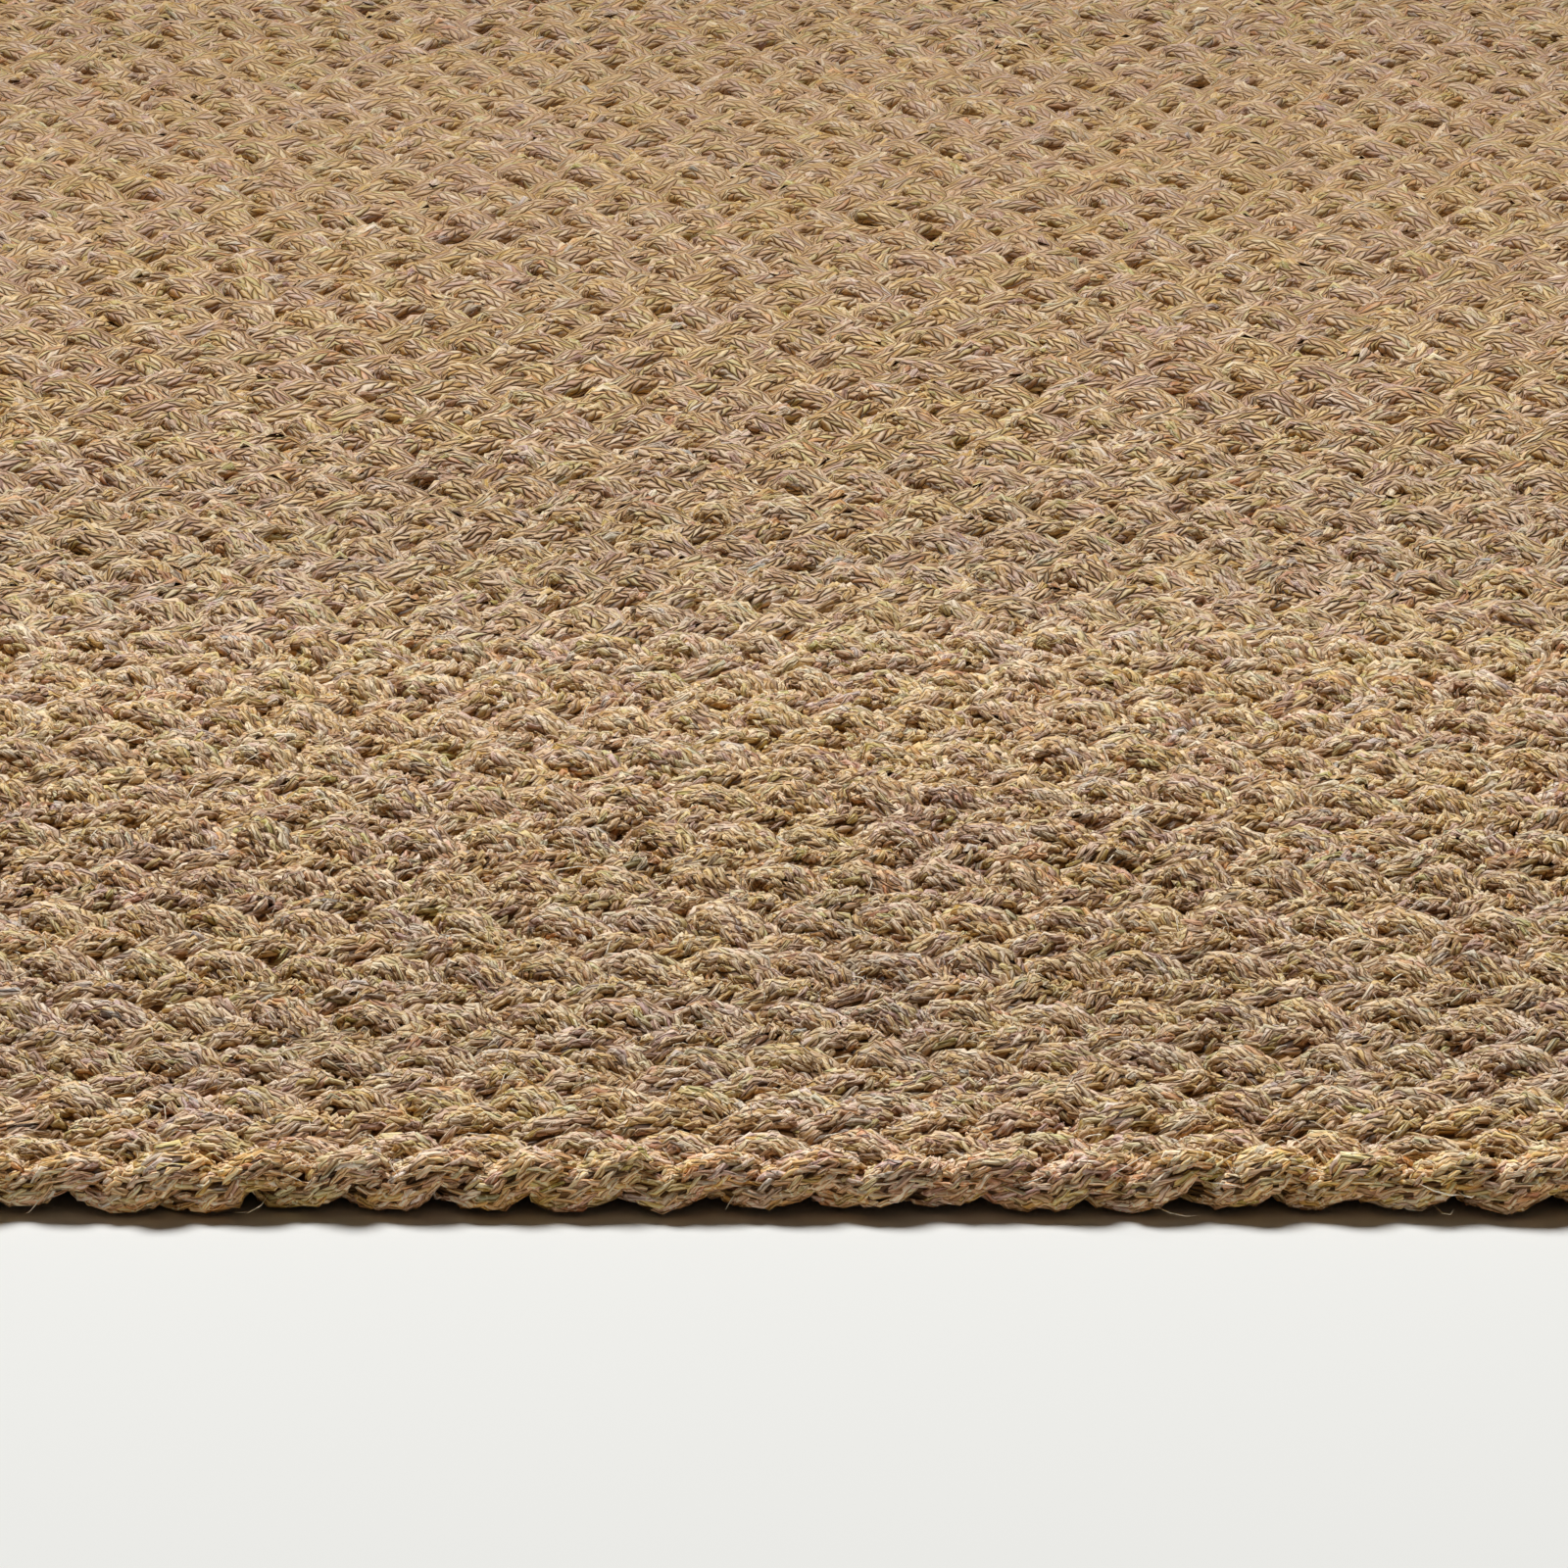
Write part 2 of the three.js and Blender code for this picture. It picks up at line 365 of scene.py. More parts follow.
        # It bends like an S: its ends turn back along the cord.
        core = np.clip(corners[None, :, 0], -FLOAT_CORE, FLOAT_CORE) * long_[:, None]
        ends = corners[None, :, 0] * long_[:, None] - core
        across = corners[None, :, 1] * wide[:, None]
        hand = np.where(col % 2 == 0, 1, -1)
        mid, end = (angle + hand * np.radians(a) for a in FLOAT_TURNS)
        ca, sa = np.cos(mid)[:, None], np.sin(mid)[:, None]
        ce, se = np.cos(end)[:, None], np.sin(end)[:, None]
        du, dc = core * ca + ends * ce - across * sa, core * sa + ends * se + across * ca
        h = corners[None, :, 2] * np.where(corners[None, :, 2] > 0, tall[:, None], 0.32)
        pts, _ = self.at(run[:, None] + du, share[:, None] + dc / self.around, h)
        self.showing = p[show], normal[show]
        return dict(points=pts, pick=pick, long=long_, wide=wide, shape=shape)

    def strays(self, share, spread=0.8):
        """Loose fibres that stand off the floats that show, from a share of them."""
        rng = np.random.default_rng(self.seed + 12000)
        p, normal = self.showing
        at = rng.random(len(p)) < share
        p, normal = p[at], normal[at]
        k = len(p)
        way = rng.normal(0, 1, (k, 3)) * [1, 0, 0] + rng.normal(0, 1, (k, 3)) * [0, spread, 0.4]
        way[:, 2] = np.abs(way[:, 2])
        way /= np.linalg.norm(way, axis=1)[:, None]
        bend = np.clip(rng.normal(0, 0.35, (k, 3)), -0.6, 0.6) * [1, spread, 0.4]
        long_ = rng.uniform(2.5, 7.5, k)[:, None]
        stand = rng.uniform(0.8, 2.2, k)[:, None]
        line = []
        for u in (0.0, 0.35, 0.7, 1.0):
            line.append(p + way * long_ * (u - 0.35) + bend * long_ * u * u + normal * (0.3 + stand * math.sin(2.6 * u)))
        thick = rng.uniform(0.10, 0.17, k)[:, None]
        pts = [line[0]]
        for c in line[1:3]:
            for th in (0.0, 2.1, 4.2):
                side = np.cross(way, [0.0, 0.0, 1.0]) * math.cos(th)
                pts.append(c + thick * (side + np.array([0, 0, math.sin(th)])))
        pts.append(line[3])
        pick = 2 + rng.random(k)  # 2 and over for a loose fibre
        return dict(points=np.stack(pts, 1), pick=pick, long=long_[:, 0], wide=thick[:, 0], shape="fibre")


# ---------------------------------------------------------------------------
# Lines that braids are laid along
# ---------------------------------------------------------------------------
def rest(z):
    """Heights, pressed flat where they would go into the floor."""
    return np.where(z > 0.9, z, 0.9 * np.exp(np.minimum(z / 0.9 - 1, 0)))


def row_line(y):
    middle = BRAIDS["row"]["middle"]

    def place(p):
        s, t, z = p[..., 0], p[..., 1], p[..., 2]
        slope = wander(s + 0.5, y) - wander(s - 0.5, y)
        k = 1 / np.sqrt(1 + slope * slope)
        x = s - slope * k * t
        return np.stack([x, y + wander(s, y) + k * t, rest(middle + lift(s, y) + z)], -1)

    return place


def edge_loop():
    """The edge braid's middle line, counter-clockwise from the middle of the near edge."""
    w, l = RUG_WIDTH - EDGE_WIDTH, RUG_LENGTH - EDGE_WIDTH
    r = OUTER_RADIUS - EDGE_WIDTH / 2
    arc = math.pi / 2 * r
    legs = [
        ("line", (0, -l / 2), (1, 0), w / 2 - r),
        ("arc", (w / 2 - r, -l / 2 + r), -90, arc),
        ("line", (w / 2, -l / 2 + r), (0, 1), l - 2 * r),
        ("arc", (w / 2 - r, l / 2 - r), 0, arc),
        ("line", (w / 2 - r, l / 2), (-1, 0), w - 2 * r),
        ("arc", (-w / 2 + r, l / 2 - r), 90, arc),
        ("line", (-w / 2, l / 2 - r), (0, -1), l - 2 * r),
        ("arc", (-w / 2 + r, -l / 2 + r), 180, arc),
        ("line", (-w / 2 + r, -l / 2), (1, 0), w / 2 - r),
    ]
    whole = sum(leg[3] for leg in legs)
    middle = BRAIDS["edge"]["middle"]

    def place(p):
        shape = p.shape
        s, t, z = p.reshape(-1, 3).T
        s = np.mod(s, whole)
        at, left = np.zeros((len(s), 2)), np.zeros((len(s), 2))
        start = 0.0
        for kind, where, way, length in legs:
            on = (s >= start) & (s <= start + length)
            u = s[on] - start
            if kind == "line":
                d = np.array(way, float)
                at[on] = np.array(where) + u[:, None] * d
                left[on] = [-d[1], d[0]]
            else:
                a = np.radians(way) + u / r
                out = np.stack([np.cos(a), np.sin(a)], 1)
                at[on] = np.array(where) + r * out
                left[on] = -out
            start += length
        xy = at + left * t[:, None]
        return np.column_stack([xy, rest(middle + z)]).reshape(shape)

    return whole, place


# ---------------------------------------------------------------------------
# Meshes
# ---------------------------------------------------------------------------
TALL, GAP, CELL = 28.0, 0.9, (3.4, 1.5)  # a lane of skin, the space between, a float's room on the map


def build(name, cords, float_sets, place, materials):
    """One mesh of cords' skins and their floats. Its map "yarn" follows the yarns, and its map "OFBake" lays all the faces out apart."""
    co, quads, tris, caps = [], [], [], []
    yarn_q, yarn_t, bake_q, bake_t = [], [], [], []
    seed_v = []
    lane, base = 0, 0
    total = sum(c["whole"] for c in cords) * (TALL + GAP) + sum(
        len(f["pick"]) * CELL[0] * CELL[1] for f in float_sets
    )
    side = math.sqrt(total) * 1.04
    room = side - 2 * GAP
    for c in cords:
        p = c["points"]
        n, m = p.shape[:2]
        co.append(place(p).reshape(-1, 3))
        seed_v.append(np.full(n * m, c["seed"] * 0.618))
        last = n if c["closed"] else n - 1
        i, j = np.repeat(np.arange(last), m), np.tile(np.arange(m), last)
        i2, j2 = (i + 1) % n, (j + 1) % m
        quads.append(base + np.stack([i * m + j, i2 * m + j, i2 * m + j2, i * m + j2], 1))
        run, share = np.append(c["run"], c["whole"]), np.append(c["share"], 1.0)
        turn = c["turn"]
        at = lambda ii, jj: np.stack([run[ii], share[jj] + turn], 1)
        yarn_q.append(np.stack([at(i, j), at(i + 1, j), at(i + 1, j + 1), at(i, j + 1)], 1))
        count = math.ceil(c["whole"] / room)
        piece = c["whole"] / count * 1.0001
        k = np.clip((run[i] / piece).astype(int), 0, count - 1)
        spot = lambda ii, jj: np.stack([
            GAP + np.clip(run[ii] - k * piece, 0, room),
            GAP + (lane + k) * (TALL + GAP) + share[jj] * (TALL - GAP),
        ], 1)
        bake_q.append(np.stack([spot(i, j), spot(i + 1, j), spot(i + 1, j + 1), spot(i, j + 1)], 1))
        lane += count
        if not c["closed"]:
            caps.append((base + np.arange(m), c))
            caps.append((base + (n - 1) * m + np.arange(m)[::-1], c))
        base += n * m
    floor_v = GAP + lane * (TALL + GAP)
    per_line = max(1, int(room // CELL[0]))
    cell = 0
    for f in float_sets:
        pts = place(f["points"])
        k, nv = pts.shape[:2]
        if not k:
            continue
        corners = np.array(SHAPES[f["shape"]]["corners"])
        faces = np.array(SHAPES[f["shape"]]["faces"])
        co.append(pts.reshape(-1, 3))
        seed_v.append(np.repeat(f["pick"], nv))
        tris.append((base + np.arange(k)[:, None, None] * nv + faces[None]).reshape(-1, 3))
        local = np.stack([
            corners[None, :, 0] * f["long"][:, None] + 40.0 * f["pick"][:, None],
            np.repeat(corners[None, :, 1], k, 0),
        ], 2)
        yarn_t.append(local[:, faces.ravel()].reshape(-1, 3, 2))
        number = cell + np.arange(k)
        origin = np.stack([GAP + (number % per_line) * CELL[0], floor_v + (number // per_line) * CELL[1]], 1)
        spread = np.stack([
            origin[:, None, 0] + CELL[0] / 2 + corners[None, :, 0] * CELL[0] * 0.44,
            origin[:, None, 1] + CELL[1] / 2 + corners[None, :, 1] * CELL[1] * 0.36,
        ], 2)
        bake_t.append(spread[:, faces.ravel()].reshape(-1, 3, 2))
        cell += k
        base += k * nv
    top = floor_v + math.ceil(cell / per_line) * CELL[1] + 2 * GAP
    co = np.concatenate(co) * MM
    quads = np.concatenate(quads)
    tris = np.concatenate(tris) if tris else np.zeros((0, 3), int)
    size = max(side, top + 3.0)
    loops = [quads.ravel(), tris.ravel()] + [c for c, _ in caps]
    yarn = [np.concatenate(yarn_q).reshape(-1, 2)] + ([np.concatenate(yarn_t).reshape(-1, 2)] if yarn_t else [])
    bake = [np.concatenate(bake_q).reshape(-1, 2)] + ([np.concatenate(bake_t).reshape(-1, 2)] if bake_t else [])
    for k, (c, cord_) in enumerate(caps):
        u = np.linspace(0, 2 * np.pi, len(c), endpoint=False)
        yarn.append(np.stack([np.cos(u) * 3, 0.5 + 0.1 * np.sin(u)], 1))
        bake.append(np.stack([2.0 + 2.6 * k + np.cos(u), top + 1.2 + np.sin(u)], 1))
    totals = np.concatenate([np.full(len(quads), 4), np.full(len(tris), 3), [len(c) for c, _ in caps]]).astype(np.int32)
    loops = np.concatenate(loops).astype(np.int32)
    starts = np.concatenate([[0], np.cumsum(totals)[:-1]]).astype(np.int32)
    me = bpy.data.meshes.new(name)
    me.vertices.add(len(co))
    me.vertices.foreach_set("co", co.astype(np.float32).ravel())
    me.loops.add(len(loops))
    me.loops.foreach_set("vertex_index", loops)
    me.polygons.add(len(totals))
    me.polygons.foreach_set("loop_start", starts)
    me.polygons.foreach_set("loop_total", totals)
    smooth = np.ones(len(totals), bool)
    smooth[len(quads) + len(tris):] = False
    me.polygons.foreach_set("use_smooth", smooth)
    for m in materials:
        me.materials.append(m)
    index = np.zeros(len(totals), np.int32)
    index[len(quads):len(quads) + len(tris)] = len(materials) - 1
    me.polygons.foreach_set("material_index", index)
    for layer_name, data, scale in (("yarn", yarn, 1.0), ("OFBake", bake, size)):
        layer = me.uv_layers.new(name=layer_name)
        layer.data.foreach_set("uv", (np.concatenate(data) / scale).astype(np.float32).ravel())
    me.uv_layers.active = me.uv_layers["yarn"]
    me.uv_layers["yarn"].active_render = True
    att = me.attributes.new("cord_seed", "FLOAT", "POINT")
    att.data.foreach_set("value", np.concatenate(seed_v).astype(np.float32))
    me.update(calc_edges=True)
    me.validate()
    ob = bpy.data.objects.new(name, me)
    bpy.context.scene.collection.objects.link(ob)
    return ob


def skin(cord, per_half, sides, rough, offset):
    run, share, p = cord.rings(per_half, sides, rough, offset)
    turn = 0.0 if cord.closed else 0.37 * cord.seed
    return dict(run=run, share=share, points=p, whole=cord.whole, closed=cord.closed, seed=cord.seed, turn=turn)


# ---------------------------------------------------------------------------
# Materials
# ---------------------------------------------------------------------------
class Nodes:
    """Short ways to add shader nodes."""

    def __init__(self, material):
        self.tree = material.node_tree
        self.tree.nodes.clear()

    def add(self, kind, **settings):
        n = self.tree.nodes.new(kind)
        for k, v in settings.items():
            setattr(n, k, v)
        return n

    def link(self, a, b):
        self.tree.links.new(a, b)

    def feed(self, node, index, value):
        if isinstance(value, bpy.types.NodeSocket):
            self.link(value, node.inputs[index])
        elif value is not None:
            node.inputs[index].default_value = value

    def math(self, op, a, b=None, c=None, clamp=False):
        n = self.add("ShaderNodeMath", operation=op, use_clamp=clamp)
        self.feed(n, 0, a)
        self.feed(n, 1, b)
        self.feed(n, 2, c)
        return n.outputs[0]

    def combine(self, x=0.0, y=0.0, z=0.0):
        n = self.add("ShaderNodeCombineXYZ")
        self.feed(n, 0, x)
        self.feed(n, 1, y)
        self.feed(n, 2, z)
        return n.outputs[0]

    def split(self, vector):
        n = self.add("ShaderNodeSeparateXYZ")
        self.link(vector, n.inputs[0])
        return n.outputs[0], n.outputs[1], n.outputs[2]

    def noise(self, vector, scale, detail=2.0, rough=0.5):
        n = self.add("ShaderNodeTexNoise", noise_dimensions="3D")
        n.inputs["Scale"].default_value = scale
        n.inputs["Detail"].default_value = detail
        n.inputs["Roughness"].default_value = rough
        self.link(vector, n.inputs["Vector"])
        return n

    def white(self, vector):
        n = self.add("ShaderNodeTexWhiteNoise", noise_dimensions="3D")
        self.link(vector, n.inputs["Vector"])
        return n.outputs["Color"]

    def ramp(self, value, stops, mode="LINEAR"):
        n = self.add("ShaderNodeValToRGB")
        n.color_ramp.interpolation = mode
        e = n.color_ramp.elements
        while len(e) > 1:
            e.remove(e[-1])
        e[0].position, e[0].color = stops[0][0], (*stops[0][1], 1)
        for p, c in stops[1:]:
            s = e.new(p)
            s.color = (*c, 1)
        self.link(value, n.inputs[0])
        return n.outputs[0]

    def span(self, value, a, b, c, d, smooth=False):
        n = self.add("ShaderNodeMapRange", interpolation_type="SMOOTHSTEP" if smooth else "LINEAR")
        self.link(value, n.inputs[0])
        for i, v in enumerate((a, b, c, d), 1):
            n.inputs[i].default_value = v
        return n.outputs[0]

    def mix(self, kind, factor, a, b):
        n = self.add("ShaderNodeMix", data_type="RGBA", blend_type=kind, clamp_result=False)
        self.feed(n, 0, factor)
        for i, v in ((6, a), (7, b)):
            if isinstance(v, bpy.types.NodeSocket):
                self.link(v, n.inputs[i])
            else:
                n.inputs[i].default_value = (*v, 1)
        return n.outputs[2]


def srgb(r, g, b):
    f = lambda c: c / 12.92 if c <= 0.04045 else ((c + 0.055) / 1.055) ** 2.4
    return tuple(f(v / 255) for v in (r, g, b))


# The yarns' colours, each with its share of the floats.
YARNS = (
    (0.23, srgb(232, 202, 160)),   # beige
    (0.11, srgb(208, 174, 130)),   # darker beige
    (0.18, srgb(222, 186, 106)),   # ochre
    (0.03, srgb(224, 152, 88)),    # orange
    (0.16, srgb(194, 158, 152)),   # mauve
    (0.04, srgb(166, 170, 170)),   # grey
    (0.11, srgb(242, 228, 206)),   # cream
    (0.10, srgb(188, 184, 102)),   # olive
    (0.04, srgb(152, 112, 76)),    # brown
)


def yarn_stops():
    stops, at = [], 0.0
    for share, colour in YARNS:
        stops.append((at, colour))
        at += share
    return stops


def hairs(n, place, way, seed):
    """1 on thin curling lines that run more or less one way, and 0 off them."""
    way = Vector(way).normalized()
    side = way.cross(Vector((0, 0, 1))).normalized()
    above = way.cross(side)
    curl = n.noise(place, 160.0 + 20 * seed, 1.0).outputs["Color"]
    bent = n.add("ShaderNodeVectorMath", operation="MULTIPLY_ADD")
    n.link(curl, bent.inputs[0])
    bent.inputs[1].default_value = (0.006, 0.006, 0.006)
    n.link(place, bent.inputs[2])
    parts = []
    for axis, scale in ((way, 110.0), (side, 1500.0), (above, 1500.0)):
        dot = n.add("ShaderNodeVectorMath", operation="DOT_PRODUCT")
        n.link(bent.outputs[0], dot.inputs[0])
        dot.inputs[1].default_value = axis * scale
        parts.append(dot.outputs["Value"])
    field = n.noise(n.combine(*parts), 1.0, 0.0).outputs["Fac"]
    return n.span(field, 0.66, 0.72, 0.0, 1.0)


def yarn_colour(n, first, second, third, fibres, place, strands=False):
    """A float's own colour, its fibres' strays from it, and slow changes over the rug."""
    base = n.ramp(first, yarn_stops(), "CONSTANT")
    if not strands:
        second = n.math("FRACT", n.math("MULTIPLY_ADD", fibres, 5.0, second))
    other = n.ramp(second, yarn_stops(), "CONSTANT")
    colour = n.mix("MIX", 0.5, base, other)
    colour = n.mix("MIX", 0.08, colour, srgb(218, 186, 140))
    patch = n.noise(place, 60.0, 2.0).outputs["Fac"]
    warm = n.span(patch, 0.35, 0.65, 0.0, 1.0)
    colour = n.mix("MULTIPLY", 1.0, colour, n.mix("MIX", warm, (1.0, 0.95, 1.0), (1.03, 0.99, 0.78)))
    return colour, n.span(third, 0.0, 1.0, 0.68, 1.18)


def finish_yarn(n, place, colour, light, height, fibres, depth, gain=None):
    # The yarns are calmer towards the far end.
    y = n.split(place)[1]
    calm = n.span(y, -0.28, 0.32, 1.0, 0.45, smooth=True)
    light = n.math("MULTIPLY_ADD", n.math("SUBTRACT", light, 0.80), calm, 0.80)
    light = n.math("MINIMUM", light, n.math("MULTIPLY_ADD", light, 0.5, 0.54))
    height = n.math("MULTIPLY", height, calm)
    colour = n.mix("MULTIPLY", 1.0, colour, n.combine(light, light, light))
    # Darker places, mostly painted shade, are tinted browner, and the lightest are painted paler, as a painted
    # highlight.
    colour = n.mix("MULTIPLY", n.span(light, 0.12, 1.0, 1.0, 0.0), colour, (1.0, 0.60, 0.24))
    colour = n.mix("MIX", n.span(light, 0.8, 1.5, 0.0, 0.45), colour, (0.80, 0.73, 0.61))
    # Painted light: the yarns are painted lighter over the near rows and darker in bands further on, darkest at the far
    # end.
    level = n.math("MULTIPLY", n.span(y, -0.42, -0.28, 1.09, 1.19), n.span(y, -0.22, -0.13, 1.0, 0.85))
    level = n.math("MULTIPLY", level, n.span(y, -0.10, 0.0, 1.0, 1.05))
    level = n.math("MULTIPLY", level, n.span(y, 0.0, 0.42, 1.0, 0.76))
    if gain is not None:
        # The painted light on the near end's outer side is least on the lightest yarns.
        knee = n.math("MULTIPLY_ADD", n.math("MULTIPLY", light, gain), 0.4, 0.78)
        level = n.math("MULTIPLY", level, n.math("MINIMUM", gain, n.math("DIVIDE", knee, n.math("MAXIMUM", light, 0.05))))
    colour = n.mix("MULTIPLY", 1.0, colour, n.combine(level, level, level))
    bump = n.add("ShaderNodeBump")
    bump.inputs["Strength"].default_value = 1.0
    bump.inputs["Distance"].default_value = depth * MM
    n.link(height, bump.inputs["Height"])
    bsdf = n.add("ShaderNodeBsdfPrincipled")
    n.link(colour, bsdf.inputs["Base Color"])
    n.link(bump.outputs[0], bsdf.inputs["Normal"])
    n.link(n.span(fibres, 0.2, 0.8, 0.45, 0.72), bsdf.inputs["Roughness"])
    bsdf.inputs["Specular IOR Level"].default_value = 0.35
    out = n.add("ShaderNodeOutputMaterial")
    n.link(bsdf.outputs[0], out.inputs[0])


def cord_material(name, shade):
    """Yarns braided round a cord, all in the shading, as light as shade, with painted shade in the gaps between the
    floats.
    """
    m = bpy.data.materials.new(name)
    m.use_nodes = True
    n = Nodes(m)
    uv = n.add("ShaderNodeUVMap", uv_map="yarn").outputs[0]
    along, round_, _ = n.split(uv)
    seed = n.add("ShaderNodeAttribute", attribute_name="cord_seed").outputs["Fac"]
    place = n.add("ShaderNodeTexCoord").outputs["Object"]

    # The yarns stray a little from their columns and pitch.
    sx, sy, _ = n.split(n.noise(place, 200.0, 2.0).outputs["Color"])
    columns = float(SHADED["columns"])
    twist = math.tan(math.radians(BRAIDS["row"]["twist"])) / float(section(BRAIDS["row"])[2])
    round_ = n.math("MULTIPLY_ADD", along, -twist, round_)
    u = n.math("ADD", n.math("DIVIDE", along, SHADED["pitch"]), n.math("MULTIPLY_ADD", sx, 0.8, -0.4))
    v = n.math("ADD", n.math("MULTIPLY", round_, columns), n.math("MULTIPLY_ADD", sy, 1.2, -0.6))
    v = n.math("WRAP", v, columns, 0.0)
    column = n.math("FLOOR", v)
    side = n.math("SUBTRACT", n.math("FRACT", v), 0.5)
    odd = n.math("MODULO", column, 2.0)
    way = n.math("MULTIPLY_ADD", odd, -2.0, 1.0)
    t = n.math("MULTIPLY_ADD", n.math("MULTIPLY", way, side), -SHADED["slant"], u)
    t = n.math("MULTIPLY_ADD", odd, 0.5, t)
    number = n.math("FLOOR", t)
    f = n.math("SUBTRACT", n.math("FRACT", t), 0.5)

    # The height of the yarn: round across, and dipping under at both ends.
    bow = n.math("SUBTRACT", 1.0, n.math("POWER", n.math("ABSOLUTE", n.math("MULTIPLY", f, 2.0)), 2.2))
    dip = n.math("SUBTRACT", 1.0, n.math("POWER", n.math("ABSOLUTE", n.math("MULTIPLY", side, 2.0)), 3.0))
    lens = n.math("MULTIPLY", n.math("SQRT", n.math("MAXIMUM", bow, 0.0)), n.math("MULTIPLY_ADD", dip, 0.75, 0.25))

    # Fibres run along each yarn.
    strand = n.combine(n.math("MULTIPLY", t, 3.0), n.math("MULTIPLY", v, 0.6), n.math("MULTIPLY_ADD", number, 3.7, seed))
    fibres = n.noise(strand, 1.0, 2.0, 0.6).outputs["Fac"]
    height = n.math("MULTIPLY_ADD", fibres, 0.25, lens)
    a, b, c = n.split(n.white(n.combine(column, number, seed)))
    colour, light = yarn_colour(n, a, b, c, fibres, place)
    light = n.math("MULTIPLY", light, n.span(fibres, 0.33, 0.67, 0.66, 1.28))
    # Painted shade: both ways paint the gaps between the floats darker by lens; with no shade given, the whole yarn is
    # painted darker still, as painted shade beneath the modelled floats, lighter where those are fewer.
    if shade is None:  # beneath modelled floats, and lighter where those are fewer
        shade = n.span(n.split(place)[1], -0.46, -0.22, 0.28, 0.6)
        light = n.math("MULTIPLY", light, n.math("MULTIPLY", shade, n.span(lens, 0.12, 0.85, 0.5, 1.0, smooth=True)))
    else:
        light = n.math("MULTIPLY", light, n.span(lens, 0.12, 0.85, 0.14, shade, smooth=True))
    finish_yarn(n, place, colour, light, height, fibres, 0.9)
    return m


def float_material():
    """One modelled float of yarn."""
    m = bpy.data.materials.new("yarn_float")
    m.use_nodes = True
    n = Nodes(m)
    uv = n.add("ShaderNodeUVMap", uv_map="yarn").outputs[0]
    along, across, _ = n.split(uv)
    pick = n.add("ShaderNodeAttribute", attribute_name="cord_seed").outputs["Fac"]
    place = n.add("ShaderNodeTexCoord").outputs["Object"]
    x, y, z = n.split(place)
    thousand = n.math("MULTIPLY", pick, 1000.0)
    own = n.math("FRACT", thousand)
    number = n.math("MULTIPLY", own, 97.0)
    # Strands lie side by side in each, a little twisted, and stray as they go.
    stray = n.noise(n.combine(n.math("MULTIPLY", across, 0.6), n.math("MULTIPLY", along, 0.5), number), 1.0, 1.0).outputs["Fac"]
    lane = n.math("ADD", n.math("MULTIPLY_ADD", across, 1.35, n.math("MULTIPLY", along, 0.30)), n.math("MULTIPLY", stray, 1.6))
    strand = n.math("FLOOR", lane)
    within = n.math("ABSOLUTE", n.math("MULTIPLY_ADD", n.math("FRACT", lane), 2.0, -1.0))
    other, bright, _ = n.split(n.white(n.combine(strand, number, 0.5)))
    fine = n.noise(n.combine(n.math("MULTIPLY", across, 5.0), n.math("MULTIPLY", along, 0.5), number), 1.0, 2.0, 0.6).outputs["Fac"]
    a, _, _ = n.split(n.white(n.combine(n.math("FLOOR", thousand), 0.0, 0.0)))
    c, _, _ = n.split(n.white(n.combine(pick, 0.0, 0.0)))
    colour, light = yarn_colour(n, a, other, c, fine, place, strands=True)
    # Each strand has its own lightness and is painted darker along its edges, as painted shade between strands. Its
    # strands and fibres are told apart best at the near end.
    inner = n.math("MULTIPLY", n.span(bright, 0.0, 1.0, 0.74, 1.20), n.span(within, 0.40, 1.0, 1.04, 0.56, smooth=True))
    inner = n.math("MULTIPLY", inner, n.span(fine, 0.30, 0.70, 0.64, 1.34))
    inner = n.math("MULTIPLY_ADD", n.math("SUBTRACT", inner, 0.90), n.span(y, -0.40, -0.20, 1.25, 0.50), 0.90)
    light = n.math("MULTIPLY", light, n.math("MAXIMUM", inner, 0.1))
    # Painted shade: its sides are painted darker where it dips beside its neighbours.
    rim_shade = n.span(n.math("MULTIPLY_ADD", n.span(y, -0.36, -0.24, 0.0, 0.12), -1.0, n.math("ABSOLUTE", across)),
                 0.55, 1.0, 1.04, 0.24, smooth=True)
    light = n.math("MULTIPLY", light, rim_shade)
    # Painted shade: it is darker where it turns downwards into the gaps.
    up = n.split(n.add("ShaderNodeNewGeometry").outputs["Normal"])[2]
    light = n.math("MULTIPLY", light, n.span(up, -0.8, 0.4, 0.6, 1.04))
    # Painted light: the yarns are painted lighter towards the near end's outer side.
    outward = n.math("MULTIPLY_ADD", y, -1.0, -RUG_LENGTH / 2 * MM)
    gain = n.math("MULTIPLY", n.span(outward, -0.055, -0.014, 1.0, 1.22), n.span(outward, -0.010, -0.003, 1.0, 1.5))
    # Thin pale fibres lie across the yarns every way.
    hair = n.math("MAXIMUM", hairs(n, place, (0.85, 0.45, 0.28), 1.0), hairs(n, place, (-0.6, 0.7, 0.4), 2.0))
    colour = n.mix("MIX", n.math("MULTIPLY", hair, 0.55), colour, srgb(236, 216, 184))
    light = n.math("MULTIPLY_ADD", hair, 0.25, light)
    loose = n.math("GREATER_THAN", pick, 1.5)
    colour = n.mix("MIX", loose, colour, srgb(248, 234, 208))
    light = n.math("MAXIMUM", light, n.math("MULTIPLY", loose, 1.4))
    # The yarn is rounder than its few faces.
    edge_on = n.math("MINIMUM", n.math("ABSOLUTE", across), 0.97)
    bulge = n.math("SQRT", n.math("SUBTRACT", 1.0, n.math("MULTIPLY", edge_on, edge_on)))
    strand_bulge = n.math("SQRT", n.math("SUBTRACT", 1.02, n.math("MULTIPLY", within, within)))
    height = n.math("ADD", n.math("MULTIPLY", bulge, 1.3), n.math("MULTIPLY_ADD", strand_bulge, 0.52, n.math("MULTIPLY", fine, 0.5)))
    height = n.math("MULTIPLY_ADD", hair, 0.15, height)
    finish_yarn(n, place, colour, light, height, fine, 0.45, gain)
    return m


